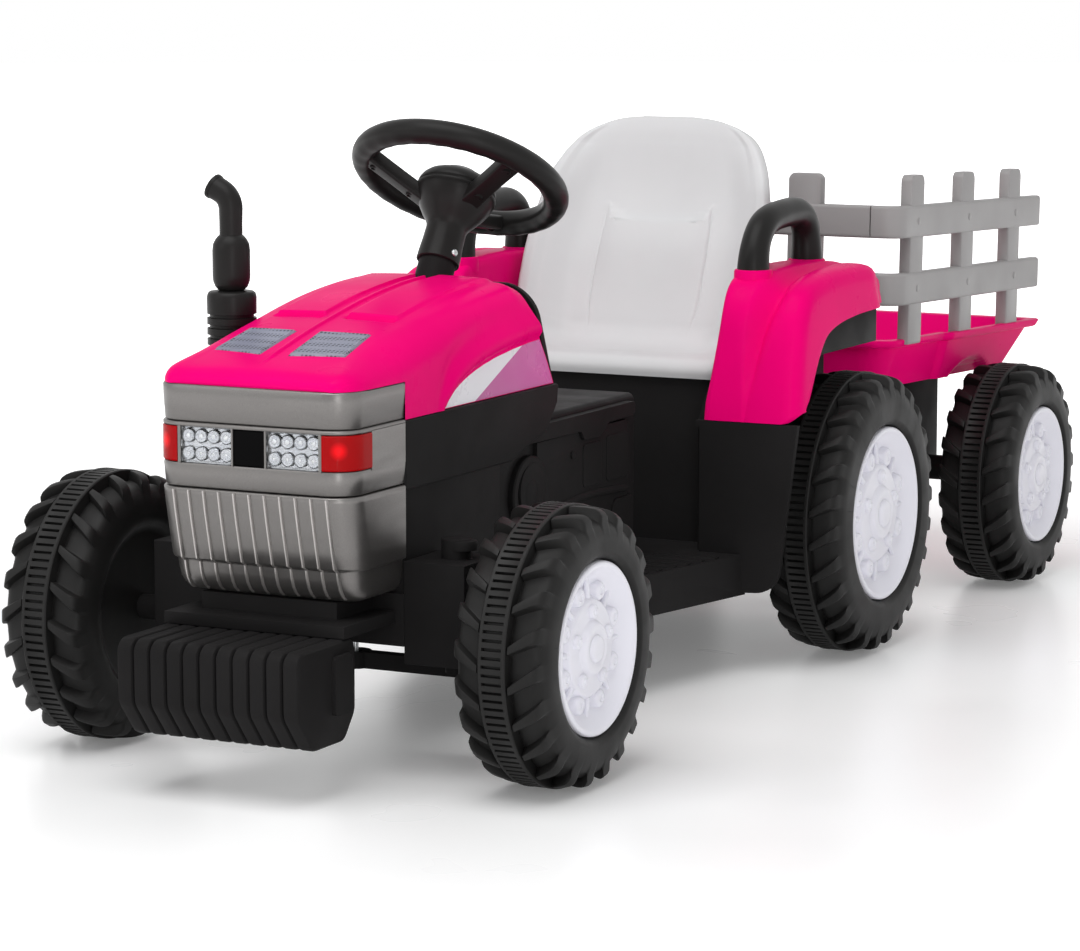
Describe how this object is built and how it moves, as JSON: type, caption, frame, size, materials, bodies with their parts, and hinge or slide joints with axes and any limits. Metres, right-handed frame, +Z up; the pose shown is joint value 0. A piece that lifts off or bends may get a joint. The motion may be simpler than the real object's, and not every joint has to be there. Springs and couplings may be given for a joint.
{
  "type": "ride-on toy tractor with trailer",
  "caption": "Child's battery ride-on farm tractor with bucket seat, steered front wheels, chunky ribbed tyres and a hitched tray trailer with slatted side fences.",
  "frame": {"origin": "on the ground, under the middle of the whole length of tractor and trailer", "axes": "+Z up, the front of the tractor towards -Y, the driver's left towards +X"},
  "size_m": [0.466, 1.35, 0.4832],
  "materials": {
    "black_body": "fine grained black moulding",
    "black_satin": "satin black moulding",
    "pink_gloss": "glossy pink moulding",
    "silver_paint": "satin silver paint on plastic",
    "clear_lens": "clear faceted lens over a bright reflector",
    "red_lens": "red faceted lens",
    "grey_mesh": "grey printed mesh",
    "grey_seat": "light grey satin moulding",
    "grey_fence": "mid grey satin moulding",
    "grey_button": "grey push button",
    "battery_case": "plain case",
    "zinc_steel": "zinc plated steel",
    "white_gear": "moulded nylon",
    "brass_pinion": "cut brass",
    "black_tyre": "blow moulded black tyre",
    "rubber_band": "ribbed rubber traction band",
    "white_rim": "white moulding"
  },
  "bodies": {
    "chassis": {"body_tub": "black_body", "nose_frame": "black_body", "engine_cover": "black_body", "bonnet": "pink_gloss", "dashboard": "black_body", "bonnet_band": "silver_paint", "lamp_band": "silver_paint", "radiator_grille": "silver_paint", "headlamps": "clear_lens", "corner_lamps": "red_lens", "bonnet_vents": "grey_mesh", "exhaust_stack": "black_satin", "front_weights": "black_body", "axle_boxes": "black_body", "seat": "grey_seat", "fenders": "pink_gloss", "grab_handles": "black_satin", "battery": "battery_case", "control_module": "battery_case", "gearbox_cases": "black_body", "drive_motors": "zinc_steel", "rear_axle": "zinc_steel", "hitch_pin": "zinc_steel"},
    "steering": {"steering_wheel": "black_satin", "steering_cap": "black_satin", "steering_shaft": "zinc_steel"},
    "horn": {"horn_button": "grey_button"},
    "power_switch": {"power_button": "grey_button"},
    "tie_rod": {"tie_rod": "zinc_steel"},
    "pedal": {"pedal": "black_body"},
    "gear_lever": {"gear_lever": "black_satin"},
    "trailer": {"trailer_tray": "pink_gloss", "trailer_frame": "black_body", "side_fences": "grey_fence", "front_fence": "grey_fence", "trailer_axle": "zinc_steel"},
    "left_knuckle": {"left_knuckle": "zinc_steel"},
    "left_front_wheel": {"left_front_tyre": "black_tyre", "left_front_band": "rubber_band", "left_front_rim": "white_rim"},
    "left_rear_wheel": {"left_rear_tyre": "black_tyre", "left_rear_band": "rubber_band", "left_rear_rim": "white_rim", "left_drive_gear": "white_gear"},
    "left_trailer_wheel": {"left_trailer_tyre": "black_tyre", "left_trailer_band": "rubber_band", "left_trailer_rim": "white_rim"},
    "left_pinion": {"left_motor_pinion": "brass_pinion"},
    "right_knuckle": {"right_knuckle": "zinc_steel"},
    "right_front_wheel": {"right_front_tyre": "black_tyre", "right_front_band": "rubber_band", "right_front_rim": "white_rim"},
    "right_rear_wheel": {"right_rear_tyre": "black_tyre", "right_rear_band": "rubber_band", "right_rear_rim": "white_rim", "right_drive_gear": "white_gear"},
    "right_trailer_wheel": {"right_trailer_tyre": "black_tyre", "right_trailer_band": "rubber_band", "right_trailer_rim": "white_rim"},
    "right_pinion": {"right_motor_pinion": "brass_pinion"}
  },
  "joints": [
    {"name": "steering_turn", "type": "hinge", "parent": "chassis", "child": "steering", "pos_m": [0, -0.2793, 0.4319], "axis": [0, 0.5165, 0.8563], "range_deg": [-30, 30]},
    {"name": "horn_press", "type": "slide", "parent": "steering", "child": "horn", "axis": [0, -0.5165, -0.8563], "range_m": [0, 0.003], "stiffness_N_per_m": 800},
    {"name": "power_press", "type": "slide", "parent": "chassis", "child": "power_switch", "axis": [0, -0.924, -0.3824], "range_m": [0, 0.003], "stiffness_N_per_m": 800},
    {"name": "pedal_press", "type": "hinge", "parent": "chassis", "child": "pedal", "pos_m": [-0.094, -0.15, 0.112], "axis": [1, 0, 0], "range_deg": [0, 12], "stiffness_Nm_per_rad": 2},
    {"name": "gear_shift", "type": "hinge", "parent": "chassis", "child": "gear_lever", "pos_m": [-0.0749, -0.2, 0.186], "axis": [1, 0, 0], "range_deg": [-15, 15]},
    {"name": "trailer_yaw", "type": "hinge", "parent": "chassis", "child": "trailer", "pos_m": [0, 0.248, 0.118], "axis": [0, 0, 1], "range_deg": [-15, 15]},
    {"name": "left_steer", "type": "hinge", "parent": "chassis", "child": "left_knuckle", "pos_m": [0.113, -0.5, 0.106], "axis": [0, 0, 1], "range_deg": [-24, 24]},
    {"name": "left_front_spin", "type": "hinge", "parent": "left_knuckle", "child": "left_front_wheel", "pos_m": [0.196, -0.5, 0.106], "axis": [1, 0, 0], "continuous": true},
    {"name": "left_rear_spin", "type": "hinge", "parent": "chassis", "child": "left_rear_wheel", "pos_m": [0.185, 0.1, 0.123], "axis": [1, 0, 0], "continuous": true},
    {"name": "left_trailer_spin", "type": "hinge", "parent": "trailer", "child": "left_trailer_wheel", "pos_m": [0.188, 0.5, 0.106], "axis": [1, 0, 0], "continuous": true},
    {"name": "left_pinion_spin", "type": "hinge", "parent": "chassis", "child": "left_pinion", "pos_m": [0.123, 0.1355, 0.1585], "axis": [1, 0, 0], "continuous": true},
    {"name": "right_steer", "type": "hinge", "parent": "chassis", "child": "right_knuckle", "pos_m": [-0.113, -0.5, 0.106], "axis": [0, 0, 1], "range_deg": [-24, 24]},
    {"name": "right_front_spin", "type": "hinge", "parent": "right_knuckle", "child": "right_front_wheel", "pos_m": [-0.196, -0.5, 0.106], "axis": [1, 0, 0], "continuous": true},
    {"name": "right_rear_spin", "type": "hinge", "parent": "chassis", "child": "right_rear_wheel", "pos_m": [-0.185, 0.1, 0.123], "axis": [1, 0, 0], "continuous": true},
    {"name": "right_trailer_spin", "type": "hinge", "parent": "trailer", "child": "right_trailer_wheel", "pos_m": [-0.188, 0.5, 0.106], "axis": [1, 0, 0], "continuous": true},
    {"name": "right_pinion_spin", "type": "hinge", "parent": "chassis", "child": "right_pinion", "pos_m": [-0.123, 0.1355, 0.1585], "axis": [1, 0, 0], "continuous": true},
    {"name": "tie_rod_swing", "type": "hinge", "parent": "left_knuckle", "child": "tie_rod", "pos_m": [0.113, -0.455, 0.0713], "axis": [0, 0, 1], "range_deg": [-24, 24]}
  ],
  "couplings": [
    {"joint": "left_steer", "follows": "steering_turn", "ratio": 0.8},
    {"joint": "left_pinion_spin", "follows": "left_rear_spin", "ratio": -4},
    {"joint": "right_steer", "follows": "steering_turn", "ratio": 0.8},
    {"joint": "right_pinion_spin", "follows": "right_rear_spin", "ratio": -4},
    {"joint": "tie_rod_swing", "follows": "steering_turn", "ratio": -0.8}
  ]
}
